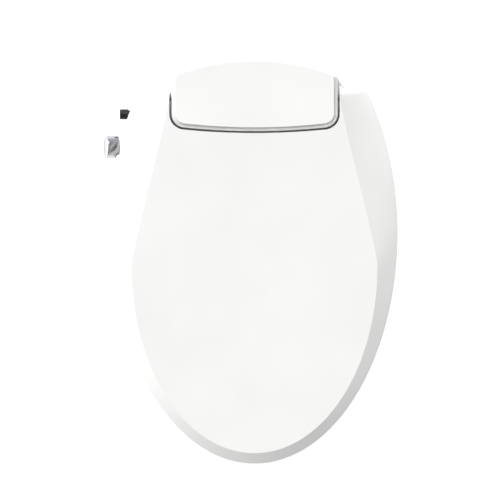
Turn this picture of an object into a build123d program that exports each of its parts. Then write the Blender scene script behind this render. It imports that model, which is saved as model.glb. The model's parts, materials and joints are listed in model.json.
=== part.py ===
"""Electric bidet seat: heated seat and lid hinged on a water unit that slides off its mounting plate.

Millimetres. The origin is midway between the two fixing bolts, on the plane of the bowl's rim.
+X is the user's left when sitting, +Y points to the cistern, +Z up. Each sub-part is one STEP in parts/.
"""
from build123d import *
from math import cos, radians, sin
import os

os.makedirs("parts", exist_ok=True)

# ---------------------------------------------------------------- driving dimensions
# Plan of the lid and seat
tip_y = -470.0            # front tip of the seat
rear_edge_y = 20.0        # straight rear edge of the seat and lid
lid_half_width = 186.0    # widest half width
lid_wide_y = -170.0       # where the rim is widest
field_half_width = 159.3  # flat field on top of the lid
field_wide_y = -215.0
field_tip_inset = 14.0    # how far the field's tip lies behind the rim's tip
# Heights of the sloping planes, at the tip and at the rear edge
seat_bottom_z = (16.0, 38.0)
seat_top_z = (42.0, 62.0)
lid_rim_z = (45.0, 70.0)
lid_top_z = (58.0, 115.0)
# Walls
shell_wall = 2.5
case_wall = 2.5
# Seat opening
opening_half_width = 104.0
opening_front_y = tip_y + 94.0
opening_rear_y = -96.0
# Water unit
housing_half_width = 107.5
housing_front_y = -38.4
housing_rear_y = 52.7
deck_z = 31.0             # top of the low part of the case
split_z = 15.0            # joint between lower and upper case
housing_top_z = 99.0      # top of the upper case's tall walls
cover_z = (109.0, 117.0)  # top of the rear cover at its front and rear edges
trim_width = 4.0          # sloping strip along the rear cover's front and sides
trim_chamfer = 3.2
# Hinge
hinge_y = 5.0
hinge_z = 90.0
pin_radius = 4.0
lug_radius = 6.5
# Mounting
plate_thickness = 5.0
bolt_spacing = 140.0
bolt_radius = 4.0
bolt_neck_radius = 4.3    # thicker neck inside the adjuster
bolt_length = 54.0        # below the plate
# Control knob and wands
knob_radius = 15.5
knob_length = 15.0
knob_tilt = 14.0          # the knob's axis points this far above the level
wand_radius = 4.5
wand_length = 125.0
wand_slope = 13.0         # the wands point this far below the level
wand_spacing = 22.0
# Clearances
running_fit = 0.05        # radial, pins and shafts
slide_fit = 0.1           # pieces that slide on each other
body_gap = 0.5            # between bodies that move past each other
lid_gap = 2.7             # between the housing and the lid's cut-out


def save(part, name):
    """Label a finished piece and write it as one STEP file."""
    part.part.label = name
    export_step(part.part, f"parts/{name}.step")
    return part.part


# ---------------------------------------------------------------- the egg-shaped plan
class Egg:
    """Plan of the lid or seat: half an ellipse, two Bezier sides and a straight rear edge."""

    def __init__(self, half, wide_y, tip, rear_x, rear_y, corner, front_handle, rear_handle, rear_angle):
        self.half, self.wide_y, self.tip = half, wide_y, tip
        self.rear_x, self.rear_y, self.corner = rear_x, rear_y, corner
        self.front_handle, self.rear_handle, self.rear_angle = front_handle, rear_handle, rear_angle

    def inset(self, amount):
        """The same plan drawn inward by amount."""
        return Egg(self.half - amount, self.wide_y, self.tip + amount, self.rear_x - amount,
                   self.rear_y - amount, self.corner, self.front_handle, self.rear_handle,
                   self.rear_angle)

    def side(self, k=1.0):
        """The +X side behind the ellipse, from its widest place back to the corner; k stretches Y."""
        lean = radians(self.rear_angle)
        end = (self.rear_x, self.rear_y - self.corner * (1 - sin(lean)))
        handle = (end[0] + self.rear_handle * sin(lean), end[1] - self.rear_handle * cos(lean))
        points = [(self.half, self.wide_y), (self.half, self.wide_y + self.front_handle), handle, end]
        return Edge.make_bezier(*[(x, y * k) for x, y in points])


rim_egg = Egg(lid_half_width, lid_wide_y, tip_y, housing_half_width + 40.0, rear_edge_y, 14.0,
              65.5, 60.0, 25.0)
field_egg = Egg(field_half_width, field_wide_y, tip_y + field_tip_inset, housing_half_width + 2.5,
                rear_edge_y - 6.0, 10.0, 25.0, 60.0, 10.0)


def sloped_plane(z_pair, lift=0.0):
    """Plane through one height at the tip and another at the rear edge; lift raises it."""
    rise = (z_pair[1] - z_pair[0]) / (rear_edge_y - tip_y)
    return Plane(origin=(0, 0, z_pair[1] - rise * rear_edge_y + lift), x_dir=(1, 0, 0), z_dir=(0, -rise, 1))


def plane_z(z_pair, y):
    """Height of a sloping plane at y."""
    return z_pair[0] + (z_pair[1] - z_pair[0]) * (y - tip_y) / (rear_edge_y - tip_y)


def egg_face(egg, plane):
    """Fill an egg plan in the current sketch, so that it keeps its size when seen from above."""
    k = 1 / plane.z_dir.Z
    lean = radians(egg.rear_angle)
    turn = radians(90 - egg.rear_angle) / 2
    side = egg.side(k)
    start = side @ 1
    back = (egg.rear_x - egg.corner * cos(lean), egg.rear_y * k)
    corner_mid = (egg.rear_x - egg.corner * (cos(lean) - cos(lean + turn)),
                  start.Y + egg.corner * (sin(lean + turn) - sin(lean)) * k)
    with BuildLine() as outline:
        EllipticalCenterArc((0, egg.wide_y * k), egg.half, (egg.wide_y - egg.tip) * k, 180, arc_size=180)
        add(side)
        ThreePointArc(start, corner_mid, back)
        mirror(outline.edges()[1:], about=Plane.YZ)
        Line(back, (-back[0], back[1]))
    make_face(outline.edges())


# ---------------------------------------------------------------- lid
lip_height = 4.0          # upright lip round the lid's rim
cheek_bottom_z = 79.0     # side walls of the lid's cut-out end here
flange_depth = 7.0        # lip turned down along the cut-out's front edge
lug_inner_x = housing_half_width + 7.0   # the seat's hinge lugs start here
lug_width = 5.0
cutout_half_width = housing_half_width + lid_gap
cutout_front_y = housing_front_y - lid_gap
front_bow = 6.5           # the housing's front edge lies this much further back at its corners


def lid_volume(wall):
    """The lid's outer form, or with a wall, the hollow inside it, which runs out below the rim."""
    rim, field = rim_egg.inset(wall), field_egg.inset(wall)
    lip = [z + lip_height for z in lid_rim_z]
    top = [z - wall for z in lid_top_z]
    with BuildPart() as volume:
        with BuildSketch(sloped_plane(lid_rim_z, -wall)):
            egg_face(rim, sloped_plane(lid_rim_z))
        with BuildSketch(sloped_plane(lip)):
            egg_face(rim, sloped_plane(lip))
        with BuildSketch(sloped_plane(top)):
            egg_face(field, sloped_plane(top))
        loft(ruled=True)
    return volume.part


def cutout_face(grow, front_y=cutout_front_y, half_width=cutout_half_width, corner=20.0):
    """Plan of the rear cut-out, open to the rear, with a bowed front edge."""
    x, y = half_width + grow, front_y - grow
    with BuildLine() as outline:
        ThreePointArc((-x, y + front_bow), (0, y), (x, y + front_bow))
        Polyline((x, y + front_bow), (x, rear_edge_y + 60), (-x, rear_edge_y + 60), (-x, y + front_bow))
    make_face(outline.edges())
    fillet(vertices().group_by(Axis.Y)[0], corner + grow)


lid_outside = lid_volume(0.0)
lid_inside = lid_volume(shell_wall)

with BuildPart() as lid_frame:
    # Turned-down edge round the cut-out, and deeper cheeks beside the hinge
    frame_z = plane_z(lid_top_z, cutout_front_y) - flange_depth
    with BuildSketch(Plane.XY.offset(frame_z)):
        cutout_face(shell_wall)
    extrude(amount=lid_top_z[1] - frame_z)
    for side in (1, -1):
        with BuildSketch(Plane.XY.offset(cheek_bottom_z)):
            with Locations((side * (cutout_half_width + shell_wall / 2), 0)):
                Rectangle(shell_wall, 2 * rear_edge_y)
        extrude(amount=lid_top_z[1] - cheek_bottom_z)
        with BuildSketch(Plane.YZ.offset(side * cutout_half_width)):
            with Locations((hinge_y, hinge_z)):
                Circle(lug_radius)
        extrude(amount=side * (lug_inner_x - body_gap - cutout_half_width))
    add(lid_outside, mode=Mode.INTERSECT)

with BuildPart() as lid_shell:
    add(lid_outside)
    add(lid_inside, mode=Mode.SUBTRACT)
    add(lid_frame.part)
    with BuildSketch(Plane.XY.offset(seat_bottom_z[0])):
        cutout_face(0.0)
    extrude(amount=2 * hinge_z, mode=Mode.SUBTRACT)
    for side in (1, -1):
        # Hole for the hinge pin, and a slot that lets the rear wall swing past the seat's lug
        with BuildSketch(Plane.YZ.offset(side * (cutout_half_width - 1))):
            with Locations((hinge_y, hinge_z)):
                Circle(pin_radius + running_fit)
        extrude(amount=side * (lug_inner_x - cutout_half_width + 2), mode=Mode.SUBTRACT)
        with BuildSketch(Plane.XY.offset(lid_rim_z[1] - 6)):
            with Locations((side * (lug_inner_x + lug_width / 2), rear_edge_y)):
                Rectangle(lug_width + 3 * body_gap, 18)
        extrude(amount=hinge_z + lug_radius + 1.5 - lid_rim_z[1] + 6, mode=Mode.SUBTRACT)
save(lid_shell, "lid_shell")

with BuildPart() as lid_bumpers:
    # Four rubber feet that stand on the closed seat
    for x, y in ((70, -395), (-70, -395), (140, -170), (-140, -170)):
        foot_z = plane_z(seat_top_z, y) + body_gap
        with BuildSketch(Plane.XY.offset(foot_z)):
            with Locations((x, y)):
                Circle(6)
        extrude(amount=lid_top_z[1] - foot_z)
    add(lid_inside, mode=Mode.INTERSECT)
save(lid_bumpers, "lid_bumpers")

# ---------------------------------------------------------------- seat
seat_inset = 1.5          # the seat's side lies this far inside the lid's rim
seat_shoulder = 6.0       # its top edge lies this much further in
seat_cut_half_width = cutout_half_width
seat_cut_front_y = housing_front_y - 7.0
lug_x = (lug_inner_x, lug_inner_x + lug_width)


def opening_face(grow):
    """Plan of the seat's opening."""
    half_length = (opening_rear_y - opening_front_y) / 2
    with Locations((0, opening_front_y + half_length)):
        Ellipse(opening_half_width + grow, half_length + grow)


def seat_volume(wall):
    """The seat's outer form, or with a wall, the hollow inside it, open below."""
    top = [z - wall for z in seat_top_z]
    with BuildPart() as volume:
        with BuildSketch(sloped_plane(seat_bottom_z, -wall)):
            egg_face(rim_egg.inset(seat_inset + wall), sloped_plane(seat_bottom_z))
        with BuildSketch(sloped_plane(top)):
            egg_face(rim_egg.inset(seat_inset + seat_shoulder + wall), sloped_plane(top))
        loft(ruled=True)
        with BuildSketch():
            cutout_face(wall, seat_cut_front_y, seat_cut_half_width, 10.0)
            opening_face(wall)
        extrude(amount=hinge_z, mode=Mode.SUBTRACT)
        if wall == 0:
            fillet(volume.faces().sort_by(Axis.Z)[-1].edges(), seat_shoulder - 1)
    return volume.part


with BuildPart() as seat_top_shell:
    add(seat_volume(0.0))
    add(seat_volume(shell_wall), mode=Mode.SUBTRACT)
    for side in (1, -1):
        # Hinge lug: a round boss on a stem that stands on the seat's rear arm
        with BuildSketch(Plane.YZ.offset(side * lug_x[0])):
            with BuildLine():
                Polyline((hinge_y - lug_radius, hinge_z), (hinge_y + lug_radius, hinge_z),
                         (hinge_y - 2, hinge_z - 18), (hinge_y - 8, plane_z(seat_top_z, 0) - 1),
                         (hinge_y - 30, plane_z(seat_top_z, 0) - 1), (hinge_y - 14, hinge_z - 16),
                         close=True)
            make_face()
            with Locations((hinge_y, hinge_z)):
                Circle(lug_radius)
                Circle(pin_radius + running_fit, mode=Mode.SUBTRACT)
        extrude(amount=side * lug_width)
save(seat_top_shell, "seat_top_shell")

with BuildPart() as seat_bottom_plate:
    # Closes the seat from below, inside the top shell's wall
    plate_plane = sloped_plane(seat_bottom_z, 0.3)
    with BuildSketch(plate_plane):
        egg_face(rim_egg.inset(seat_inset + 2 * shell_wall), plate_plane)
    extrude(amount=shell_wall)
    with BuildSketch():
        cutout_face(shell_wall + slide_fit, seat_cut_front_y, seat_cut_half_width, 10.0)
        opening_face(shell_wall + slide_fit)
    extrude(amount=hinge_z, mode=Mode.SUBTRACT)
save(seat_bottom_plate, "seat_bottom_plate")

with BuildPart() as seat_heater:
    # Thin heating foil under the top skin, a horseshoe round the opening
    foil_plane = sloped_plane(seat_top_z, -shell_wall - 1.5)
    with BuildSketch(foil_plane):
        egg_face(rim_egg.inset(seat_inset + seat_shoulder + 14), foil_plane)
    extrude(amount=1.0)
    with BuildSketch():
        opening_face(14)
        with Locations((0, rear_edge_y)):
            Rectangle(2 * lid_half_width, 2 * (rear_edge_y - opening_rear_y))
    extrude(amount=hinge_z, mode=Mode.SUBTRACT)
save(seat_heater, "seat_heater")

with BuildPart() as seat_bumpers:
    # Four rubber feet that rest on the bowl's rim
    for x, y in ((80, -410), (-80, -410), (140, -150), (-140, -150)):
        with BuildSketch():
            with Locations((x, y)):
                RectangleRounded(22, 30, 6)
        extrude(amount=plane_z(seat_bottom_z, y - 15) - 0.2)
save(seat_bumpers, "seat_bumpers")

# ---------------------------------------------------------------- mounting plate and bolts
rail_x = 42.0             # the two rails that hold the unit down
rail_stem = 5.0
rail_flange = 11.0
rail_length = 50.0
floor_z = plate_thickness + body_gap
flange_z = floor_z + case_wall + body_gap
adjuster_size = (30.0, 26.0, 3.5)

with BuildPart() as mounting_plate:
    with BuildSketch():
        RectangleRounded(bolt_spacing + 46, 62, 8)
    extrude(amount=plate_thickness)
    with BuildSketch():
        with GridLocations(bolt_spacing, 0, 2, 1):
            Rectangle(adjuster_size[0] + 2 * slide_fit, adjuster_size[1] + 2 * slide_fit)
    extrude(amount=plate_thickness, mode=Mode.SUBTRACT)
    for side in (1, -1):
        with BuildSketch(Plane.XY.offset(plate_thickness)):
            with Locations((side * rail_x, 0)):
                Rectangle(rail_stem, rail_length)
        extrude(amount=flange_z - plate_thickness)
        with BuildSketch(Plane.XY.offset(flange_z)):
            with Locations((side * rail_x, 0)):
                Rectangle(rail_flange, rail_length)
        extrude(amount=2.5)
save(mounting_plate, "mounting_plate")

with BuildPart() as bolt_adjusters:
    # Blocks that sit in the plate's windows and take the bolts
    with BuildSketch():
        with GridLocations(bolt_spacing, 0, 2, 1):
            Rectangle(adjuster_size[0], adjuster_size[1])
            Circle(bolt_neck_radius + running_fit, mode=Mode.SUBTRACT)
    extrude(amount=adjuster_size[2])
save(bolt_adjusters, "bolt_adjusters")

with BuildPart() as fixing_bolts:
    # Flat heads inside the plate's windows, necks in the adjusters, shanks down through the bowl's holes
    with BuildSketch(Plane.XY.offset(adjuster_size[2] + running_fit)):
        with GridLocations(bolt_spacing, 0, 2, 1):
            Circle(10)
    extrude(amount=plate_thickness - adjuster_size[2] - running_fit)
    with BuildSketch():
        with GridLocations(bolt_spacing, 0, 2, 1):
            Circle(bolt_neck_radius)
    extrude(amount=adjuster_size[2] + running_fit)
    with BuildSketch():
        with GridLocations(bolt_spacing, 0, 2, 1):
            Circle(bolt_radius)
    extrude(amount=-bolt_length)
    chamfer(fixing_bolts.edges().group_by(Axis.Z)[0], 1.0)
save(fixing_bolts, "fixing_bolts")

# ---------------------------------------------------------------- case of the water unit
case_front_y = -92.0
case_rear_y = 60.0
case_half_width = housing_half_width + 42.5
pod_margin = 4.5          # the side pod's wall stands this far outside the lid's rim
post_spots = [(side * (housing_half_width + out), y) for out, y in ((10.5, -64), (16.5, 16))
              for side in (1, -1)]
guard_half_width = 26.0
window_half_width = 22.0
knob_y, knob_z = -58.0, 17.5
gland_y, gland_z = -15.6, 16.0
inlet_at = (-housing_half_width - 30.5, 2.0)
bezel_radius = 16.5
gland_radius = 7.1
inlet_radius = 10.48      # G1/2 thread, outside
inlet_length = 19.5
inlet_neck_radius = 9.5
inlet_bore_radius = 7.0
button_at = (case_half_width, -30.0, 21.0)
button_size = (14.0, 24.0, 9.0)
button_travel = 3.0


def rim_x(y):
    """Half width of the lid's rim at a y behind its widest place."""
    low, high = 0.0, 1.0
    side = rim_egg.side()
    while high - low > 1e-6:
        middle = (low + high) / 2
        low, high = (middle, high) if (side @ middle).Y < y else (low, middle)
    return (side @ low).X


def pod_x(y):
    """Where the side pod's wall stands."""
    return -rim_x(y) - pod_margin


knob_at = (pod_x(knob_y), knob_y, knob_z)
gland_at = (pod_x(gland_y), gland_y, gland_z)


def case_face(grow=0.0):
    """Plan of the low case; on the -X side its pod follows the lid's rim."""
    pod = [(pod_x(y), y) for y in (8.0, -16.0, -58.0, -78.0)]
    back = (housing_half_width + 4.5, case_rear_y - 18)
    with BuildLine() as outline:
        ThreePointArc((-back[0], back[1]), (0, case_rear_y), back)
        Polyline(back, (case_half_width - 8, 18), (case_half_width, -8), (case_half_width, -70),
                 (case_half_width - 22, case_front_y), (pod[-1][0] + 17, case_front_y), *reversed(pod),
                 (12 - case_half_width, 24), (-back[0], back[1]))
    make_face(outline.edges())
    fillet(vertices(), 6)
    if grow:
        offset(amount=grow, kind=Kind.INTERSECTION)


def housing_face(inset=0.0, rear_inset=None):
    """Plan of the tall housing: arched rear edge, bowed front edge with round corners."""
    x = housing_half_width - inset
    front = housing_front_y + inset
    rear = housing_rear_y - (inset if rear_inset is None else rear_inset)
    with BuildLine() as outline:
        ThreePointArc((-x, rear - 19), (0, rear), (x, rear - 19))
        Line((x, rear - 19), (x, front + front_bow))
        ThreePointArc((x, front + front_bow), (0, front), (-x, front + front_bow))
        Line((-x, front + front_bow), (-x, rear - 19))
    make_face(outline.edges())
    fillet(vertices().group_by(Axis.Y)[0], 18 - inset)
    fillet(vertices().sort_by(Axis.Y)[-2:], 5)


def knob_plane(shift=0.0):
    """Plane across the knob's axis, facing outward, shifted along the axis."""
    lean = radians(knob_tilt)
    way = Vector(-cos(lean), 0, sin(lean))
    return Plane(origin=Vector(*knob_at) + way * shift, x_dir=(0, -1, 0), z_dir=way)


with BuildPart() as side_holes:
    # Everything that passes through the case's side walls: knob bezel, cable gland, release button
    with BuildSketch(knob_plane(-9)):
        Circle(bezel_radius + slide_fit)
    extrude(amount=20)
    with BuildSketch(Plane.YZ.offset(gland_at[0] + 12)):
        with Locations((gland_at[1], gland_at[2])):
            Circle(gland_radius - 1.5 + slide_fit)
    extrude(amount=-20)
    with BuildSketch(Plane.YZ.offset(gland_at[0] - 0.9)):
        with Locations((gland_at[1], gland_at[2])):
            Circle(gland_radius + slide_fit)
    extrude(amount=-10)
    with BuildSketch(Plane.YZ.offset(case_half_width - 6)):
        with Locations((button_at[1], button_at[2])):
            Rectangle(button_size[1] + 2 * body_gap, button_size[2] + 2 * body_gap)
    extrude(amount=10)

with BuildPart() as lower_case:
    with BuildSketch(Plane.XY.offset(floor_z)):
        case_face()
    extrude(amount=split_z - floor_z)
    with BuildSketch(Plane.XY.offset(floor_z + case_wall)):
        case_face(-case_wall)
    extrude(amount=split_z, mode=Mode.SUBTRACT)
    with BuildSketch(Plane.XY.offset(floor_z)):
        # Slots for the rails' stems, the wands' window, the inlet and the screws
        slot_front = -rail_length / 2 - body_gap
        for side in (1, -1):
            with Locations((side * rail_x, (slot_front + case_rear_y) / 2 + 2)):
                Rectangle(rail_stem + 2 * body_gap, case_rear_y - slot_front + 4)
        with Locations((0, case_front_y + 11)):
            Rectangle(2 * window_half_width, 34)
        with Locations(inlet_at):
            Circle(inlet_neck_radius + slide_fit)
        with Locations(*post_spots):
            Circle(1.8)
    extrude(amount=case_wall, mode=Mode.SUBTRACT)
    with BuildSketch(Plane.XY.offset(floor_z)):
        with Locations(*post_spots):
            Circle(3.4)
    extrude(amount=1.6, mode=Mode.SUBTRACT)
    with BuildSketch(Plane.XY.offset(floor_z)):
        # Ways out through the rear wall for the rails, and through the front wall for the wands
        for side in (1, -1):
            with Locations((side * rail_x, case_rear_y)):
                Rectangle(rail_flange + 2 * body_gap, 24)
        with Locations((0, case_front_y)):
            Rectangle(2 * window_half_width, 12)
    extrude(amount=split_z, mode=Mode.SUBTRACT)
    add(side_holes.part, mode=Mode.SUBTRACT)
save(lower_case, "lower_case")

with BuildPart() as upper_case:
    with BuildSketch(Plane.XY.offset(split_z)):
        case_face()
    extrude(amount=deck_z - split_z)
    fillet(upper_case.faces().sort_by(Axis.Z)[-1].edges(), 1.5)
    with BuildSketch(Plane.XY.offset(deck_z - case_wall)):
        housing_face()
    extrude(amount=housing_top_z - deck_z + case_wall)
    with BuildSketch(Plane.XY.offset(split_z)):
        case_face(-case_wall)
    extrude(amount=deck_z - case_wall - split_z, mode=Mode.SUBTRACT)
    with BuildSketch(Plane.XY.offset(split_z)):
        housing_face(case_wall)
    extrude(amount=housing_top_z, mode=Mode.SUBTRACT)
    with BuildSketch(Plane.XY.offset(split_z)):
        with Locations((0, case_front_y)):
            Rectangle(2 * window_half_width, 12)
    extrude(amount=deck_z - case_wall - split_z, mode=Mode.SUBTRACT)
    # Screw posts, and the holes for the hinge pins
    with BuildSketch(Plane.XY.offset(floor_z + case_wall + 0.2)):
        with Locations(*post_spots):
            Circle(4)
            Circle(1.55, mode=Mode.SUBTRACT)
    extrude(amount=deck_z - 1 - floor_z - case_wall)
    with BuildSketch(Plane.YZ.offset(-cutout_half_width)):
        with Locations((hinge_y, hinge_z)):
            Circle(pin_radius + running_fit)
    extrude(amount=2 * cutout_half_width, mode=Mode.SUBTRACT)
    add(side_holes.part, mode=Mode.SUBTRACT)
save(upper_case, "upper_case")

with BuildPart() as case_screws:
    with BuildSketch(Plane.XY.offset(floor_z + 0.1)):
        with Locations(*post_spots):
            Circle(3.1)
    extrude(amount=1.4)
    with BuildSketch(Plane.XY.offset(floor_z + 0.1)):
        with Locations(*post_spots):
            Circle(1.5)
    extrude(amount=16)
save(case_screws, "case_screws")

with BuildPart() as base_pads:
    # Rubber pads under the case, beside the mounting plate
    with BuildSketch():
        with Locations((128, -62), (-150, -80), (128, 2), (-112, -62)):
            Circle(8)
    extrude(amount=floor_z)
save(base_pads, "base_pads")

# ---------------------------------------------------------------- rear cover and its strip
trim_top = (106.0, 114.0)


def cover_slope(z_pair):
    """Plane that rises from the housing's front edge to its rear edge."""
    rise = (z_pair[1] - z_pair[0]) / (housing_rear_y - housing_front_y)
    return Plane(origin=(0, 0, z_pair[0] - rise * housing_front_y), x_dir=(1, 0, 0), z_dir=(0, -rise, 1))


def below_slope(z_pair):
    """Block of everything under a sloping plane, to cut a piece's top with."""
    size = 4 * housing_half_width
    plane = cover_slope(z_pair)
    return plane * Box(size, size, size, align=(Align.CENTER, Align.CENTER, Align.MAX))


trim_block = below_slope(trim_top)
cover_block = below_slope(cover_z)
cover_hollow = below_slope([z - case_wall for z in cover_z])

with BuildPart() as cover_trim:
    with BuildSketch(Plane.XY.offset(housing_top_z)):
        housing_face()
    extrude(amount=30)
    add(trim_block, mode=Mode.INTERSECT)
    chamfer(cover_trim.faces().sort_by(Axis.Z)[-1].edges(), trim_chamfer)
    with BuildSketch(Plane.XY.offset(housing_top_z)):
        housing_face(trim_width, -trim_width)
    extrude(amount=30, mode=Mode.SUBTRACT)
save(cover_trim, "cover_trim")

with BuildPart() as cover_inside:
    with BuildSketch(Plane.XY.offset(housing_top_z - 1)):
        housing_face(trim_width + slide_fit + case_wall, case_wall)
    extrude(amount=30)
    add(cover_hollow, mode=Mode.INTERSECT)

with BuildPart() as rear_cover:
    with BuildSketch(Plane.XY.offset(housing_top_z + 0.2)):
        housing_face(trim_width + slide_fit, 0.0)
    extrude(amount=30)
    add(cover_block, mode=Mode.INTERSECT)
    fillet(rear_cover.faces().sort_by(Axis.Z)[-1].edges(), 1.2)
    add(cover_inside.part, mode=Mode.SUBTRACT)
save(rear_cover, "rear_cover")

# ---------------------------------------------------------------- hinge pins and slow-close dampers
damper_radius = 9.0
damper_length = 42.0
pin_start = housing_half_width - case_wall - 0.3


def hinge_cylinder(start, length, radius):
    """Round bar on the hinge axis, in the current part."""
    with BuildSketch(Plane.YZ.offset(start)) as disc:
        with Locations((hinge_y, hinge_z)):
            Circle(radius)
    return extrude(disc.sketch, amount=length, mode=Mode.PRIVATE)


with BuildPart() as hinge_pins:
    for side in (1, -1):
        add(hinge_cylinder(side * pin_start, side * (lug_x[1] + 1.5 - pin_start), pin_radius))
save(hinge_pins, "hinge_pins")
for name, side in (("seat_damper", 1), ("lid_damper", -1)):
    with BuildPart() as damper:
        add(hinge_cylinder(side * (pin_start - 0.1 - damper_length), side * damper_length, damper_radius))
        with BuildSketch(Plane.YZ.offset(side * (pin_start - 0.1))):
            with Locations((hinge_y, hinge_z - 4)):
                Rectangle(22, 7)
        extrude(amount=-side * 3)
    save(damper, name)

# ---------------------------------------------------------------- knob, gland, inlet, button
shaft_radius = 3.0

with BuildPart() as knob_bezel:
    with BuildSketch(knob_plane(-8)):
        Circle(bezel_radius)
        Circle(shaft_radius + running_fit, mode=Mode.SUBTRACT)
    extrude(amount=10)
    fillet(knob_bezel.edges().filter_by(GeomType.CIRCLE).sort_by(Axis.X)[0], 0.8)
save(knob_bezel, "knob_bezel")

with BuildPart() as control_knob:
    with BuildSketch(knob_plane(2.4)):
        Circle(knob_radius)
    extrude(amount=knob_length)
    fillet(control_knob.edges().filter_by(GeomType.CIRCLE).sort_by(Axis.X)[0], 1.5)
    with BuildSketch(knob_plane(2.4 + knob_length)):
        Circle(knob_radius - 3)
    extrude(amount=-0.8, mode=Mode.SUBTRACT)
    with BuildSketch(knob_plane(2.4)):
        Circle(shaft_radius)
    extrude(amount=-16)
save(control_knob, "control_knob")

with BuildPart() as dial_encoder:
    with BuildSketch(knob_plane(-8.2)):
        Rectangle(13, 12)
        Circle(shaft_radius + running_fit, mode=Mode.SUBTRACT)
    extrude(amount=-7)
save(dial_encoder, "dial_encoder")

with BuildPart() as cable_gland:
    with BuildSketch(Plane.YZ.offset(gland_at[0] - 1)):
        with Locations((gland_at[1], gland_at[2])):
            Circle(gland_radius)
    extrude(amount=-11)
    fillet(cable_gland.edges().filter_by(GeomType.CIRCLE).sort_by(Axis.X)[0], 1.2)
    with BuildSketch(Plane.YZ.offset(gland_at[0] - 1)):
        with Locations((gland_at[1], gland_at[2])):
            Circle(gland_radius - 1.5)
    extrude(amount=10)
    with BuildSketch(Plane.YZ.offset(gland_at[0] - 12)):
        with Locations((gland_at[1], gland_at[2])):
            Circle(3.5)
    extrude(amount=12, mode=Mode.SUBTRACT)
save(cable_gland, "cable_gland")

with BuildPart() as water_inlet:
    # Thread below the floor, a thinner neck through it and a flange inside
    inlet_foot_z = floor_z - 0.1 - inlet_length
    with BuildSketch(Plane.XY.offset(inlet_foot_z)):
        with Locations(inlet_at):
            Circle(inlet_radius)
    extrude(amount=inlet_length)
    with BuildSketch(Plane.XY.offset(inlet_foot_z)):
        with Locations(inlet_at):
            Circle(inlet_neck_radius)
    extrude(amount=inlet_length + case_wall + 3)
    with BuildSketch(Plane.XY.offset(floor_z + case_wall + 0.1)):
        with Locations(inlet_at):
            Circle(inlet_radius + 1.5)
    extrude(amount=3)
    with BuildSketch(Plane.XY.offset(inlet_foot_z)):
        with Locations(inlet_at):
            Circle(inlet_bore_radius)
    extrude(amount=inlet_length, mode=Mode.SUBTRACT)
    foot_edges = water_inlet.edges().filter_by(GeomType.CIRCLE).group_by(Axis.Z)[0]
    chamfer(foot_edges.sort_by(SortBy.LENGTH)[-1], 1)
save(water_inlet, "water_inlet")

with BuildPart() as inlet_strainer:
    strainer_radius = inlet_bore_radius - slide_fit
    with BuildSketch(Plane.XY.offset(inlet_foot_z + 8)):
        with Locations(inlet_at):
            Circle(strainer_radius)
            Circle(strainer_radius - 1.3, mode=Mode.SUBTRACT)
    extrude(amount=inlet_length - 8)
    with BuildSketch(Plane.XY.offset(inlet_foot_z + 8)):
        with Locations(inlet_at):
            Circle(strainer_radius)
    extrude(amount=1)
save(inlet_strainer, "inlet_strainer")

with BuildPart() as release_button:
    with BuildSketch(Plane.YZ.offset(case_half_width + button_travel + 0.5)):
        with Locations((button_at[1], button_at[2])):
            RectangleRounded(button_size[1], button_size[2], 2)
    extrude(amount=-button_size[0])
    fillet(release_button.faces().sort_by(Axis.X)[-1].edges(), 0.8)
    with BuildSketch(Plane.YZ.offset(case_half_width + button_travel + 0.5 - button_size[0])):
        with Locations((button_at[1], button_at[2])):
            Rectangle(button_size[1] + 6, button_size[2])
    extrude(amount=3)
    with BuildSketch(Plane.YZ.offset(case_half_width + button_travel + 0.5 - button_size[0])):
        with Locations((button_at[1], button_at[2])):
            Circle(3)
    extrude(amount=8, mode=Mode.SUBTRACT)
save(release_button, "release_button")

with BuildPart() as latch_spring:
    # Drawn at its pressed length, inside the button's pocket
    spring_start = case_half_width + button_travel + 0.5 - button_size[0] + 8 - button_travel - 0.5
    with BuildSketch(Plane.YZ.offset(spring_start)):
        with Locations((button_at[1], button_at[2])):
            Circle(2.6)
            Circle(1.9, mode=Mode.SUBTRACT)
    extrude(amount=-13)
save(latch_spring, "latch_spring")

with BuildPart() as spring_bracket:
    with BuildSketch(Plane.YZ.offset(spring_start - 13.1)):
        with Locations((button_at[1], (button_at[2] + floor_z + case_wall) / 2 + 2)):
            Rectangle(10, button_at[2] - floor_z - case_wall + 4)
    extrude(amount=-2)
save(spring_bracket, "spring_bracket")

# ---------------------------------------------------------------- wands
wand_tip = (-96.0, 7.0)   # y and z of the wands' tips at rest
tip_length = 14.0
rack_width, rack_height = 3.0, 2.0
rack_gap = 0.4            # between a rack's face and its pinion's teeth
guide_height = 12.4
pinion_radius = 6.0
pinion_at = 75.0          # distance back along the wand from its tip


def wand_plane(back, x=0.0, up=0.0):
    """Plane across a wand's axis, facing forward and down, at a distance back from the tip."""
    lean = radians(wand_slope)
    way = Vector(0, cos(lean), sin(lean))
    over = Vector(0, -sin(lean), cos(lean))
    return Plane(origin=Vector(x, *wand_tip) + way * back + over * up, x_dir=(1, 0, 0), z_dir=-way)


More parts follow.
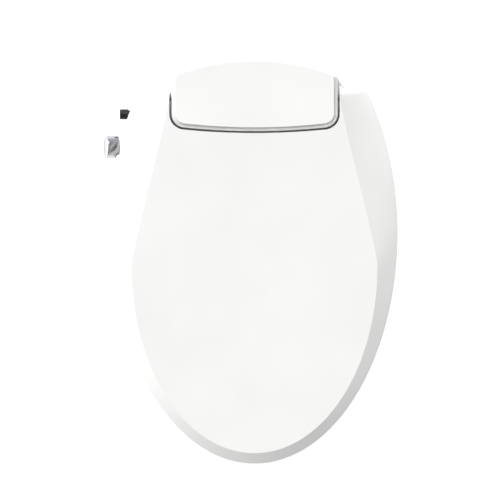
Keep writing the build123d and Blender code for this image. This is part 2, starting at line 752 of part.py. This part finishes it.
for name, x in (("cleansing", -wand_spacing / 2), ("bidet", wand_spacing / 2)):
    with BuildPart() as wand:
        with BuildSketch(wand_plane(wand_length, x)):
            Circle(wand_radius)
        extrude(amount=wand_length - tip_length - slide_fit)
    save(wand, f"{name}_wand")
    with BuildPart() as tip:
        with BuildSketch(wand_plane(tip_length, x)):
            Circle(wand_radius)
        extrude(amount=tip_length)
        fillet(tip.edges().filter_by(GeomType.CIRCLE).sort_by(Axis.Y)[0], 2.5)
        spray_plane = wand_plane(tip_length / 2, x, wand_radius)
        with BuildSketch(Plane(spray_plane.origin, x_dir=(1, 0, 0), z_dir=spray_plane.y_dir)):
            with PolarLocations(1.6, 5):
                Circle(0.45)
        extrude(amount=-2, mode=Mode.SUBTRACT)
    save(tip, f"{name}_tip")
    with BuildPart() as rack:
        with BuildSketch(wand_plane(wand_length, x, wand_radius + rack_height / 2 + 0.02)):
            Rectangle(rack_width, rack_height)
        extrude(amount=wand_length - pinion_at + 8)
    save(rack, f"{name}_rack")
    with BuildPart() as pinion:
        hub = wand_plane(pinion_at, x, wand_radius + rack_height + rack_gap + pinion_radius).origin
        with BuildSketch(Plane.YZ.offset(x - rack_width / 2)):
            with Locations((hub.Y, hub.Z)):
                Circle(pinion_radius - 1.5)
                with PolarLocations(pinion_radius - 1.2, 12):
                    Rectangle(2.4, 1.6)
                Circle(1.5, mode=Mode.SUBTRACT)
        extrude(amount=rack_width)
    save(pinion, f"{name}_pinion")
    side = 1 if x > 0 else -1
    with BuildPart() as motor:
        with BuildSketch(Plane.YZ.offset(x + side * (rack_width / 2 + 1))):
            with Locations((hub.Y, hub.Z)):
                Circle(8.4)
        extrude(amount=side * 15)
        with BuildSketch(Plane.YZ.offset(x + side * (rack_width / 2 + 1))):
            with Locations((hub.Y, hub.Z)):
                Circle(1.45)
        extrude(amount=-side * (rack_width + 2))
    save(motor, f"{name}_motor")

with BuildPart() as nozzle_guide:
    # Bores for the wands, open above for their racks
    with BuildSketch(wand_plane(46)):
        Rectangle(2 * wand_spacing, guide_height)
        with GridLocations(wand_spacing, 0, 2, 1):
            Circle(wand_radius + running_fit, mode=Mode.SUBTRACT)
        with Locations((0, guide_height / 2)):
            with GridLocations(wand_spacing, 0, 2, 1):
                Rectangle(rack_width + 2 * body_gap, guide_height, mode=Mode.SUBTRACT)
    extrude(amount=14)
save(nozzle_guide, "nozzle_guide")

with BuildPart() as nozzle_guard:
    with BuildSketch(Plane.XY.offset(floor_z + 1)):
        with Locations((0, case_front_y - 8)):
            RectangleRounded(2 * guard_half_width, 15.6, 5)
    extrude(amount=deck_z - floor_z - 1)
    fillet(nozzle_guard.faces().sort_by(Axis.Z)[-1].edges(), 1.5)
    with BuildSketch(Plane.XY.offset(floor_z)):
        with Locations((0, case_front_y - 4)):
            Rectangle(2 * window_half_width, 19)
    extrude(amount=deck_z - floor_z - 3, mode=Mode.SUBTRACT)
    with BuildSketch(Plane.XY.offset(floor_z)):
        with Locations((0, case_front_y - 14)):
            Rectangle(2 * window_half_width - 6, 16)
    extrude(amount=10.5, mode=Mode.SUBTRACT)
save(nozzle_guard, "nozzle_guard")

# ---------------------------------------------------------------- water and electric parts inside
tank_box = ((-95.0, -22.0, 24.0), (-52.0, 36.0, 70.0))
valve_box = ((-152.0, -88.0, 9.5), (-128.0, -74.0, 27.0))
coil_box = ((-165.0, -87.0, 10.0), (-152.1, -76.0, 24.0))
divider_box = ((-20.0, 33.0, 30.0), (20.0, 45.0, 50.0))
board_box = ((22.0, -21.0, 60.0), (94.0, 34.0, 61.6))
power_box = ((56.0, -24.0, 13.0), (100.0, 26.0, 46.0))
hose_radius = 3.5
wire_radius = 1.2


def block(box, corner=2.0):
    """Box between two corners, with round upright edges."""
    (x0, y0, z0), (x1, y1, z1) = box
    with BuildPart() as solid:
        with BuildSketch(Plane.XY.offset(z0)):
            with Locations(((x0 + x1) / 2, (y0 + y1) / 2)):
                RectangleRounded(x1 - x0, y1 - y0, corner)
        extrude(amount=z1 - z0)
    return solid.part


def tube(points, radii, radius, bore=0.0):
    """Tube along straight runs joined by tangent arcs, with one arc radius for each corner."""
    with BuildLine() as path:
        FilletPolyline(*points, radius=radii)
    with BuildPart() as solid:
        with BuildSketch(Plane(origin=path.line @ 0, z_dir=path.line % 0)) as section:
            Circle(radius)
            if bore:
                Circle(bore, mode=Mode.SUBTRACT)
        sweep(section.sketch, path=path.line)
    return solid


with BuildPart() as heater_tank:
    # Open-topped tank with 3 mm walls
    add(block(tank_box, 6))
    inner = [[v + 3 for v in tank_box[0]], [tank_box[1][0] - 3, tank_box[1][1] - 3, tank_box[1][2] + 3]]
    add(block(inner, 3), mode=Mode.SUBTRACT)
save(heater_tank, "heater_tank")

with BuildPart() as tank_lid:
    (x0, y0, z0), (x1, y1, z1) = tank_box
    add(block(((x0, y0, z1 + 0.05), (x1, y1, z1 + 3)), 6))
    with BuildSketch(Plane.XY.offset(z1)):
        with Locations(((x0 + x1) / 2, y0 + 14), ((x0 + x1) / 2, y1 - 14)):
            Circle(3.1)
    extrude(amount=5, mode=Mode.SUBTRACT)
save(tank_lid, "tank_lid")

rod_x = (tank_box[0][0] + tank_box[1][0]) / 2
rod_top, rod_low = tank_box[1][2] + 6, tank_box[0][2] + 12
rod_ends = (tank_box[0][1] + 14, tank_box[1][1] - 14)
heater_element = tube([(rod_x, rod_ends[0], rod_top), (rod_x, rod_ends[0], rod_low),
                       (rod_x, rod_ends[1], rod_low), (rod_x, rod_ends[1], rod_top)], [12, 12], 3.0)
save(heater_element, "heater_element")

with BuildPart() as inlet_valve:
    add(block(valve_box, 3))
save(inlet_valve, "inlet_valve")

with BuildPart() as valve_coil:
    add(block(coil_box, 4))
save(valve_coil, "valve_coil")

with BuildPart() as flow_divider:
    add(block(divider_box, 3))
save(flow_divider, "flow_divider")

valve_mid = (valve_box[0][0] + valve_box[1][0]) / 2
inlet_hose = tube([(inlet_at[0], inlet_at[1], floor_z + case_wall + 3.1), (inlet_at[0], inlet_at[1], 23),
                   (inlet_at[0], -40, 23), (valve_mid, valve_box[1][1] + 16, 20),
                   (valve_mid, valve_box[1][1] + 0.05, 20)], [8, 40, 14], hose_radius, hose_radius - 1)
save(inlet_hose, "inlet_hose")
tank_hose = tube([(valve_box[1][0] + 0.05, -82, 18), (rod_x, -82, 18), (rod_x, -12, 18),
                  (rod_x, -12, tank_box[0][2] - 0.05)], [22, 5.9], hose_radius, hose_radius - 1)
save(tank_hose, "tank_hose")
divider_y = (divider_box[0][1] + divider_box[1][1]) / 2
outlet_hose = tube([(tank_box[1][0] + 0.05, 30, 52), (-40, 30, 52), (-32, divider_y, 40),
                    (divider_box[0][0] - 0.05, divider_y, 40)], [6, 5], hose_radius, hose_radius - 1)
save(outlet_hose, "outlet_hose")

with BuildPart() as power_module:
    add(block(power_box, 2))
save(power_module, "power_module")

with BuildPart() as control_board:
    add(block(board_box, 2))
save(control_board, "control_board")

with BuildPart() as board_parts:
    # Capacitors, relays and the dial wires' connector on the board
    with BuildSketch(Plane.XY.offset(board_box[1][2])):
        with Locations((88, -18), (88, 0)):
            Circle(6)
    extrude(amount=14)
    with BuildSketch(Plane.XY.offset(board_box[1][2])):
        with Locations((62, -12), (62, 10), (40, 16)):
            Rectangle(14, 16)
    extrude(amount=9)
    with BuildSketch(Plane.XY.offset(board_box[1][2])):
        with Locations((27, -18)):
            Rectangle(6, 8)
    extrude(amount=5)
save(board_parts, "board_parts")

gland_inner = (gland_at[0] + 9.1, gland_at[1], gland_at[2])
mains_lead = tube([gland_inner, (-122, gland_at[1], gland_at[2]), (-92, -3, gland_at[2]),
                   (-20, -3, gland_at[2]), (power_box[0][0] - 12, -8, gland_at[2] + 3),
                   (power_box[0][0] - 0.05, -8, gland_at[2] + 3)], [30, 30, 60, 14], 2.0)
save(mains_lead, "mains_lead")
dial_wires = tube([(-160, -50.0, 12), (-136, -50, 12), (-80, -33, 11), (-35, -31, 11), (-35, -31, 64),
                   (8, -18, 64), (24 - 0.05, -18, 64)], [30, 40, 8, 8, 12], wire_radius)
save(dial_wires, "dial_wires")
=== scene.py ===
# %% [markdown]
# # An electric bidet seat, finished around its CAD frame
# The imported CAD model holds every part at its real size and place. This script gives each part
# its surface: smooth moulded shells, chrome, rubber and metal, and it adds the small forms that
# a maker sees up close. Everything is in metres, and each finished piece sits at the origin
# with its place in its mesh, so that patterns in Object coordinates stay put.

# %% Load the frame
import bpy
import bmesh
import json
from math import pi, radians
from mathutils import Matrix, Vector

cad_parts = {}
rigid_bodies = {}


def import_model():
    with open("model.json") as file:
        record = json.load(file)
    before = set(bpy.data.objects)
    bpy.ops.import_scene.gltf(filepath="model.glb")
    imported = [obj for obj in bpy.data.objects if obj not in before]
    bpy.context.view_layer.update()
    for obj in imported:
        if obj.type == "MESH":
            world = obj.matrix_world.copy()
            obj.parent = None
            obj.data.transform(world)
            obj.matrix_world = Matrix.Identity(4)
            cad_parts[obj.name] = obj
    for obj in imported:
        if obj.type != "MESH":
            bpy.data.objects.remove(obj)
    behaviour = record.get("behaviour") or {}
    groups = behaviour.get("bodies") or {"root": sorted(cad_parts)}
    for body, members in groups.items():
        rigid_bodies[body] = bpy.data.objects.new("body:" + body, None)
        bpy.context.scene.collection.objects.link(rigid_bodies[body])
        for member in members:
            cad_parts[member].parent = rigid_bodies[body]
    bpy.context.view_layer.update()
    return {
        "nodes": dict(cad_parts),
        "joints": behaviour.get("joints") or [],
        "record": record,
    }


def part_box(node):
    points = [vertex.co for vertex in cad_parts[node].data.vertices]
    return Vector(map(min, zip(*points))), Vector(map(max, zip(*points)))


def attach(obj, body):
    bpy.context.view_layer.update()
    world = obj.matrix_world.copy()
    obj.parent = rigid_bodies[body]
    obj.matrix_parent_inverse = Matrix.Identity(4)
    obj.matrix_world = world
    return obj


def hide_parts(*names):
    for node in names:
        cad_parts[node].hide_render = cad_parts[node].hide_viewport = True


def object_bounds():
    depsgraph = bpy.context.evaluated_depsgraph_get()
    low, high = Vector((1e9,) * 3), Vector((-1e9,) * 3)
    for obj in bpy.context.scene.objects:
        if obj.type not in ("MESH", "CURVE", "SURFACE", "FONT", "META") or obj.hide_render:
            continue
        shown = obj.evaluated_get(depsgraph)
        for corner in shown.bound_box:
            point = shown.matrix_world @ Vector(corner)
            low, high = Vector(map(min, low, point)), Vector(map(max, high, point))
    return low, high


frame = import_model()
record = frame["record"]
joints = {joint["name"]: joint for joint in frame["joints"]}
slot_of = {part["node"]: part["material_slot"] for part in record["subparts"]}
body_of_node = {node: body for body, nodes in record["behaviour"]["bodies"].items() for node in nodes}
objects = bpy.context.scene.collection.objects
MM = 0.001

# %% [markdown]
# ## Finishes
# Moulded plastic, chrome and rubber differ less in colour than in how rough they are and how
# fine their skin is. Each finish below is one Principled shader. A coarse noise tints it by a
# few per cent, as real mouldings vary, and a fine noise drives its roughness and its bump.
# The scale of each pattern is worked out from a size in millimetres.

# %% Helpers for colour and nodes
def linear(code):
    """A hex sRGB colour as linear RGBA."""
    channels = [int(code[i:i + 2], 16) / 255 for i in (1, 3, 5)]
    return [c / 12.92 if c <= 0.04045 else ((c + 0.055) / 1.055) ** 2.4 for c in channels] + [1.0]


def add_node(tree, kind, values=None, links=None, **settings):
    """Add a shader node with its settings, its socket values and its incoming links."""
    node = tree.nodes.new(kind)
    for name, value in settings.items():
        setattr(node, name, value)
    for socket, value in (values or {}).items():
        node.inputs[socket].default_value = value
    for socket, source in (links or {}).items():
        tree.links.new(source, node.inputs[socket])
    return node


def finish(name, light, dark, patch, grain, rough, bump, metallic=0.0, ior=1.5, stretch=(1, 1, 1), coat=0.0):
    """One Principled material: patch and grain are pattern sizes in mm, bump is its depth in mm."""
    material = bpy.data.materials.new(name)
    material.use_nodes = True
    tree = material.node_tree
    tree.nodes.clear()
    place = add_node(tree, "ShaderNodeTexCoord")
    turned = add_node(tree, "ShaderNodeMapping", {"Scale": stretch}, {"Vector": place.outputs["Object"]})
    tint = add_node(tree, "ShaderNodeTexNoise", {"Scale": 1000 / patch, "Detail": 3.0},
                    {"Vector": place.outputs["Object"]})
    ramp = add_node(tree, "ShaderNodeValToRGB", links={"Fac": tint.outputs["Fac"]})
    ramp.color_ramp.elements[0].position = 0.3
    ramp.color_ramp.elements[0].color = linear(dark)
    ramp.color_ramp.elements[1].position = 0.7
    ramp.color_ramp.elements[1].color = linear(light)
    fine = add_node(tree, "ShaderNodeTexNoise", {"Scale": 1000 / grain, "Detail": 2.0},
                    {"Vector": turned.outputs["Vector"]})
    gloss = add_node(tree, "ShaderNodeMapRange", {"To Min": rough[0], "To Max": rough[1]},
                     {"Value": fine.outputs["Fac"]})
    relief = add_node(tree, "ShaderNodeBump", {"Strength": 1.0, "Distance": bump * MM},
                      {"Height": fine.outputs["Fac"]})
    shader = add_node(tree, "ShaderNodeBsdfPrincipled",
                      {"Metallic": metallic, "IOR": ior, "Coat Weight": coat},
                      {"Base Color": ramp.outputs["Color"], "Roughness": gloss.outputs["Result"],
                       "Normal": relief.outputs["Normal"]})
    add_node(tree, "ShaderNodeOutputMaterial", links={"Surface": shader.outputs["BSDF"]})
    return material


# %% [markdown]
# The shells are white ABS, injection moulded in a polished tool. That gives a broad soft sheen
# with a faint orange peel a millimetre or two across. The seat is polypropylene, a touch warmer
# and duller, because skin rubs on it every day.

# %% White mouldings
finishes = {}
finishes["white_abs"] = finish("moulded_ABS_white", "#F8F8F7", "#F4F4F3", 90, 1.6, (0.20, 0.30), 0.006)
finishes["white_polypropylene"] = finish("moulded_polypropylene_white", "#F4F4F1", "#EFEFEB", 70, 1.2,
                                         (0.30, 0.42), 0.010)
finishes["grey_trim"] = finish("satin_ABS_light_grey", "#D3D5D7", "#CBCDCF", 60, 0.7, (0.38, 0.5), 0.012)
print("white finishes", len(finishes))

# %% [markdown]
# Chrome plate is a mirror whose only flaws are a faint haze and the polish below it. Machined
# steel keeps the lines of the tool, so its noise is stretched along one axis. The inlet is
# brass, which shows on its thread.

# %% Metals
finishes["chrome"] = finish("chrome_plate", "#AEB0B3", "#A4A6A9", 30, 0.8, (0.12, 0.2), 0.001, metallic=1.0)
finishes["steel"] = finish("machined_steel", "#BEBFC1", "#A9AAAC", 12, 0.6, (0.25, 0.42), 0.004, metallic=1.0,
                           stretch=(1, 1, 0.08))
finishes["brass"] = finish("turned_brass", "#D2B36A", "#B8964E", 10, 0.6, (0.22, 0.38), 0.004, metallic=1.0,
                           stretch=(0.1, 0.1, 1))
print("finishes so far", list(finishes))

# %% [markdown]
# Rubber and nylon are moulded with a grain so that they grip and don't glare. Hoses are milky
# silicone. The black gland is nylon, with the matt grain of a spark-eroded mould.

# %% Rubber, nylon and the inner parts
finishes["grey_rubber"] = finish("moulded_rubber_grey", "#A6A7A8", "#8F9091", 18, 0.9, (0.65, 0.85), 0.03)
finishes["black_nylon"] = finish("moulded_nylon_black", "#1B1B1C", "#101011", 14, 0.6, (0.38, 0.55), 0.015)
finishes["dark_parts"] = finish("moulded_thermoset_dark", "#2A2B2D", "#1C1D1F", 16, 0.8, (0.45, 0.62), 0.015)
finishes["grey_pom"] = finish("acetal_natural", "#DADBD8", "#CBCCC9", 25, 1.0, (0.35, 0.5), 0.010)
finishes["clear_hose"] = finish("silicone_hose_milky", "#E3E5E2", "#CFD2CF", 12, 1.4, (0.3, 0.45), 0.015)
finishes["pcb_green"] = finish("solder_mask_green", "#1F7A45", "#145A30", 5, 0.8, (0.25, 0.4), 0.02)
finishes["copper_coil"] = finish("wrapped_coil_blue", "#34507E", "#223659", 4, 0.5, (0.4, 0.55), 0.03,
                                 stretch=(0.1, 1, 1))
missing = sorted(set(slot_of.values()) - set(finishes))
print("finishes", len(finishes), "missing", missing)

# %% [markdown]
# ## From CAD triangles to smooth skins
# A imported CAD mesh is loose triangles, which shade flat and break every highlight on a glossy
# shell. A merged copy of it can be smooth across its curves and crisp at its edges. Its flat
# stretches are dissolved into whole faces first, and then a small bevel rounds the crisp edges,
# as a mould's edges are, so that they catch the light. The CAD node itself stays untouched.

# %% Skins for the CAD parts
def as_mesh(form, name):
    """A mesh made from a bmesh, which is freed."""
    mesh = bpy.data.meshes.new(name)
    form.to_mesh(mesh)
    form.free()
    return mesh


def open_form(node):
    """A merged bmesh copy of a CAD node, with its flat stretches made whole."""
    form = bmesh.new()
    form.from_mesh(frame["nodes"][node].data)
    bmesh.ops.remove_doubles(form, verts=form.verts, dist=2e-6)
    bmesh.ops.dissolve_degenerate(form, dist=1e-6, edges=form.edges)
    bmesh.ops.dissolve_limit(form, angle_limit=radians(0.3), verts=form.verts, edges=form.edges)
    return form


def close_form(form, name, node, angle=32):
    """Turn a finished bmesh into the piece that stands for a CAD node; edges below the angle are smooth."""
    for face in form.faces:
        face.smooth = True
    for seam in form.edges:
        seam.smooth = len(seam.link_faces) == 2 and seam.calc_face_angle(0.0) < radians(angle)
    mesh = as_mesh(form, name)
    mesh.materials.append(finishes[slot_of[node]])
    piece = bpy.data.objects.new(name, mesh)
    objects.link(piece)
    even = piece.modifiers.new("even shading", "WEIGHTED_NORMAL")
    even.keep_sharp = True
    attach(piece, body_of_node[node])
    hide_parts(node)
    return piece


def skin(node, edge=0.0, sharper_than=50):
    """A smooth copy of a CAD node; edge is the radius in mm that edges sharper than an angle get."""
    form = open_form(node)
    if edge:
        sharp = [seam for seam in form.edges
                 if len(seam.link_faces) == 2 and seam.calc_face_angle(0.0) > radians(sharper_than)]
        bmesh.ops.bevel(form, geom=sharp, offset=edge * MM, offset_type="OFFSET", affect="EDGES", segments=3,
                        profile=0.5, material=-1, clamp_overlap=True)
    return close_form(form, f"{node}_skin", node)


for node, part in frame["nodes"].items():
    part.data.materials.clear()
    part.data.materials.append(finishes[slot_of[node]])
# Radius in mm of each part's sharp edges; a part that isn't listed keeps them as they are.
edge_radius = {"lid_shell": 1.5, "seat_top_shell": 0.8, "rear_cover": 0.4, "cover_trim": 0.3,
               "upper_case": 0.5, "lower_case": 0.4, "nozzle_guard": 0.5, "mounting_plate": 0.5,
               "release_button": 0.4, "seat_bottom_plate": 0.4, "seat_bumpers": 1.0, "lid_bumpers": 0.8,
               "base_pads": 0.8}
# Edges sharper than this are rounded; the lid's field meets its skirt at a shallow crease.
crease_angle = {"lid_shell": 24, "seat_top_shell": 40}
made_by_hand = ["control_knob", "cable_gland", "water_inlet", "fixing_bolts", "latch_spring"]
skins = {}
for node in frame["nodes"]:
    if node not in made_by_hand:
        skins[node] = skin(node, edge_radius.get(node, 0.0), sharper_than=crease_angle.get(node, 50))
print("skins", len(skins), "faces", sum(len(s.data.polygons) for s in skins.values()))

# %% [markdown]
# ## Turned parts
# The knob, the cord's gland, the inlet and the bolts are all turned or moulded round an axis.
# Each is drawn as half a section, a few points of radius and height in millimetres, and spun
# once round. The section leaves and meets the axis, so the spun form is closed.

# %% Spin a half section
def turn(form, section, steps=96):
    """Spin a section of (radius, height) points in mm round Z into a closed form; returns its points."""
    corners = [form.verts.new((radius * MM, 0, height * MM)) for radius, height in section]
    lines = [form.edges.new(pair) for pair in zip(corners, corners[1:])]
    bmesh.ops.spin(form, geom=corners + lines, cent=(0, 0, 0), axis=(0, 0, 1), angle=2 * pi, steps=steps,
                   use_merge=True)
    bmesh.ops.remove_doubles(form, verts=form.verts, dist=1e-6)
    bmesh.ops.recalc_face_normals(form, faces=form.faces)
    return form.verts


def stand(form, place, way):
    """Move a form drawn round Z to a place, with its height along a direction."""
    turned = Vector(way).to_track_quat("Z", "Y").to_matrix().to_4x4()
    bmesh.ops.transform(form, matrix=Matrix.Translation(place) @ turned, verts=form.verts)


# %% [markdown]
# ### The control knob
# A chrome cap on a shaft. Its rim is rolled over and its face is dished a millimetre deep, as a
# pressed cap's is. The side swells by a fifth of a millimetre, so that the reflections on it
# spread and don't end in straight stripes.

# %% The control knob
knob = bmesh.new()
turn(knob, [(0, 16.3), (6, 16.35), (11.4, 16.6), (12.6, 17.0), (13.2, 17.35), (14.0, 17.4), (14.8, 17.2),
            (15.2, 16.7), (15.35, 16.0), (15.47, 12.5), (15.5, 9.5), (15.45, 6.5), (15.3, 3.6), (15.0, 2.8),
            (14.4, 2.42), (11.5, 2.4), (11.2, 4.5), (3.0, 4.6), (3.0, -13.4), (2.7, -13.6), (0, -13.6)])
stand(knob, joints["knob_turn"]["pos_m"], joints["knob_turn"]["axis"])
knob_piece = close_form(knob, "chrome_knob", "control_knob", angle=40)
print("knob faces", len(knob_piece.data.polygons))

# %% [markdown]
# ### The cord's gland
# A black nylon sleeve where the mains cord enters. Shallow ribs round it let the fingers hold
# it, and its mouth is rounded so that the cord isn't cut. Its place is the record's own mount.

# %% The cable gland
gland_mount = next(mount for mount in record["mounts"] if mount["name"] == "cord_entry")
gland = bmesh.new()
ribs = [(radius, 2.0 + 1.6 * rib + step) for rib in range(5)
        for radius, step in ((7.1, 0.0), (7.1, 0.7), (6.6, 0.9), (6.6, 1.4))]
turn(gland, [(0, -15), (5.3, -15), (5.6, -14.7), (5.6, -5), (6.8, -5), (7.1, -4.7)]
     + [(radius, height - 6) for radius, height in ribs]
     + [(7.1, 4.6), (6.9, 5.3), (6.3, 5.8), (5.4, 6.0), (4.3, 5.9), (3.7, 5.5), (3.5, 4.9), (3.5, -5.8),
        (0, -5.8)])
stand(gland, gland_mount["pos_m"], gland_mount["axis"])
gland_piece = close_form(gland, "ribbed_gland", "cable_gland", angle=25)
print("gland faces", len(gland_piece.data.polygons))

# %% [markdown]
# ### Threads
# A thread is a small blunt ridge carried round and up at once: a spin with a step along its axis.
# Here it winds round a core at the thread's root, so the crest keeps the CAD's outer radius.
# The inlet has the 1.8 mm pitch of a half-inch pipe thread, and the bolts the 1.25 mm of M8.

# %% Wind a thread
def wind(form, crest, root, pitch, bottom, top, steps=40):
    """Add a helical ridge round Z between two heights, all in mm."""
    foot = root - 0.1                  # sunk a little into the core
    half_foot = 0.42 * pitch
    half_crest = 0.06 * pitch
    start = bottom + half_foot
    corners = [form.verts.new((radius * MM, 0, height * MM))
               for radius, height in ((foot, start - half_foot), (crest, start - half_crest),
                                      (crest, start + half_crest), (foot, start + half_foot))]
    ridge = form.faces.new(corners)
    turns = (top - bottom - pitch) / pitch
    count = round(turns * steps)
    bmesh.ops.spin(form, geom=[ridge], cent=(0, 0, 0), axis=(0, 0, 1), angle=2 * pi * count / steps,
                   dvec=(0, 0, pitch * MM / steps), steps=count, use_merge=False)
    bmesh.ops.recalc_face_normals(form, faces=form.faces)
    return count


# %% The water inlet
inlet_low, inlet_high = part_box("water_inlet")
inlet_height = (inlet_high.z - inlet_low.z) / MM
inlet_crest, inlet_root, inlet_pitch = 10.48, 9.45, 1.814
inlet = bmesh.new()
turn(inlet, [(0, 19.6), (7.0, 19.5), (7.0, 0.5), (7.5, 0.0), (8.9, 0.0), (inlet_root, 0.8),
             (inlet_root, 19.3), (9.5, 19.6), (9.5, 22.1), (11.7, 22.1), (11.98, 22.4), (11.98, 24.8),
             (11.7, inlet_height - 0.3), (9.5, inlet_height - 0.3), (9.3, inlet_height), (0, inlet_height)])
thread_steps = wind(inlet, inlet_crest, inlet_root, inlet_pitch, bottom=1.2, top=19.0)
stand(inlet, ((inlet_low.x + inlet_high.x) / 2, (inlet_low.y + inlet_high.y) / 2, inlet_low.z), (0, 0, 1))
inlet_piece = close_form(inlet, "threaded_inlet", "water_inlet", angle=30)
print("inlet thread steps", thread_steps, "faces", len(inlet_piece.data.polygons))

# %% The fixing bolts
studs = next(mount for mount in record["mounts"] if mount["name"] == "fixing_studs")
stud_gap = studs["dims"]["spacing_x_mm"]
bolt_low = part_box("fixing_bolts")[0].z / MM
bolt_crest, bolt_root, bolt_pitch = 4.0, 3.4, 1.25
bolts = bmesh.new()
for side in (-0.5, 0.5):
    bolt = bmesh.new()
    turn(bolt, [(0, bolt_low), (2.6, bolt_low), (bolt_root, bolt_low + 0.9), (bolt_root, -1.0), (3.9, -0.4),
                (4.0, 0.0), (4.3, 0.0), (4.3, 3.55), (9.7, 3.55), (10.0, 3.8), (10.0, 4.6), (9.6, 5.0),
                (0, 5.0)], steps=48)
    wind(bolt, bolt_crest, bolt_root, bolt_pitch, bottom=bolt_low + 0.6, top=-0.8, steps=32)
    bmesh.ops.translate(bolt, vec=(side * stud_gap * MM, 0, 0), verts=bolt.verts)
    bolts.from_mesh(as_mesh(bolt, "bolt"))
bolts_piece = close_form(bolts, "threaded_bolts", "fixing_bolts", angle=30)
print("bolt faces", len(bolts_piece.data.polygons))

# %% [markdown]
# ### The latch spring
# A compression spring of round wire behind the release button. The same moving spin carries a
# small circle of wire round and along.

# %% The latch spring
spring_low, spring_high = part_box("latch_spring")
spring_length = (spring_high.x - spring_low.x) / MM
spring = bmesh.new()
wire = 0.35                            # the wire's radius
coil_radius = 2.25
coils, coil_steps = 7, 24
bmesh.ops.create_circle(spring, cap_ends=True, segments=8, radius=wire * MM,
                        matrix=Matrix.Translation((coil_radius * MM, 0, wire * MM))
                        @ Matrix.Rotation(radians(90), 4, "X"))
wire_circle = spring.verts[:] + spring.edges[:] + spring.faces[:]
bmesh.ops.spin(spring, geom=wire_circle, cent=(0, 0, 0), axis=(0, 0, 1), angle=2 * pi * coils,
               dvec=(0, 0, (spring_length - 2 * wire) * MM / (coils * coil_steps)),
               steps=coils * coil_steps, use_merge=False)
bmesh.ops.recalc_face_normals(spring, faces=spring.faces)
spring_middle = (spring_low + spring_high) / 2
stand(spring, (spring_low.x, spring_middle.y, spring_middle.z), (1, 0, 0))
spring_piece = close_form(spring, "coiled_spring", "latch_spring", angle=50)
print("spring coils", coils, "faces", len(spring_piece.data.polygons))

# %% [markdown]
# ## The studio
# The object is looked at from straight above, from far away through a long lens, so that its
# outline keeps its true proportions. The floor glows a little besides being white, because a
# product table is lit from below to lose its shadows.

# %% Floor and camera
low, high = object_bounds()
floor_form = bmesh.new()
bmesh.ops.create_grid(floor_form, x_segments=1, y_segments=1, size=4.0,
                      matrix=Matrix.Translation((0, 0, low[2] - 1 * MM)))
floor_mesh = as_mesh(floor_form, "studio_floor")
floor = bpy.data.objects.new("studio_floor", floor_mesh)
objects.link(floor)
floor_paint = finish("matt_floor_white", "#F4F4F4", "#F2F2F2", 400, 3, (0.9, 1.0), 0.002)
floor_shader = next(node for node in floor_paint.node_tree.nodes if node.type == "BSDF_PRINCIPLED")
floor_shader.inputs["Emission Color"].default_value = linear("#FFFFFF")
floor_shader.inputs["Emission Strength"].default_value = 0.6
floor_mesh.materials.append(floor_paint)

view_width = 0.6487                    # width of the view at the lid's height
lens_distance = 12.0
sensor_width = 36.0
view_centre = (-4.5 * MM, -193.6 * MM)
lid_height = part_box("lid_shell")[1].z
camera_data = bpy.data.cameras.new("camera")
camera_data.sensor_width = sensor_width
camera_data.lens = sensor_width * (lens_distance - lid_height) / view_width
camera_data.clip_end = 50.0
camera = bpy.data.objects.new("camera", camera_data)
objects.link(camera)
camera.location = (*view_centre, lens_distance)
bpy.context.scene.camera = camera
print("lens", round(camera_data.lens), "mm at", lens_distance, "m")

# %% [markdown]
# White on white is read from shade alone. A broad sun from behind, a little to the left, lights
# the top and the left side most, so that the right and front sides are each a step darker. The
# sky around it is a gradient, paler behind than in front, which gives the chrome knob its bands.

# %% Key light and sky
key_from = Vector((-0.20, 0.30, 0.34))
key_data = bpy.data.lights.new("key_from_behind", "SUN")
key_data.energy = 2.85
key_data.angle = radians(18)
key = bpy.data.objects.new("key_from_behind", key_data)
key.rotation_euler = key_from.to_track_quat("Z", "Y").to_euler()
objects.link(key)

world = bpy.data.worlds.new("studio_sky")
world.use_nodes = True
sky = world.node_tree
sky.nodes.clear()
way = add_node(sky, "ShaderNodeTexCoord")
split = add_node(sky, "ShaderNodeSeparateXYZ", links={"Vector": way.outputs["Generated"]})
front_to_back = add_node(sky, "ShaderNodeMapRange", {"From Min": -1.0, "From Max": 1.0},
                         {"Value": split.outputs["Y"]})
bands = add_node(sky, "ShaderNodeValToRGB", links={"Fac": front_to_back.outputs["Result"]})
band_colours = ((0.0, "#A0A0A0"), (0.2, "#5C5C5C"), (0.4, "#A8A8A8"), (0.53, "#D8D8D8"), (0.75, "#A6A6A6"),
                (1.0, "#E8E8E8"))
while len(bands.color_ramp.elements) < len(band_colours):
    bands.color_ramp.elements.new(0.5)
for stop, (position, colour) in zip(bands.color_ramp.elements, band_colours):
    stop.position = position
    stop.color = linear(colour)
backdrop = add_node(sky, "ShaderNodeBackground", {"Strength": 1.15}, {"Color": bands.outputs["Color"]})
add_node(sky, "ShaderNodeOutputWorld", links={"Surface": backdrop.outputs["Background"]})
bpy.context.scene.world = world
bpy.context.scene.view_settings.view_transform = "Standard"
print("key from", [round(v, 2) for v in key_from.normalized()], "sky stops", len(band_colours))
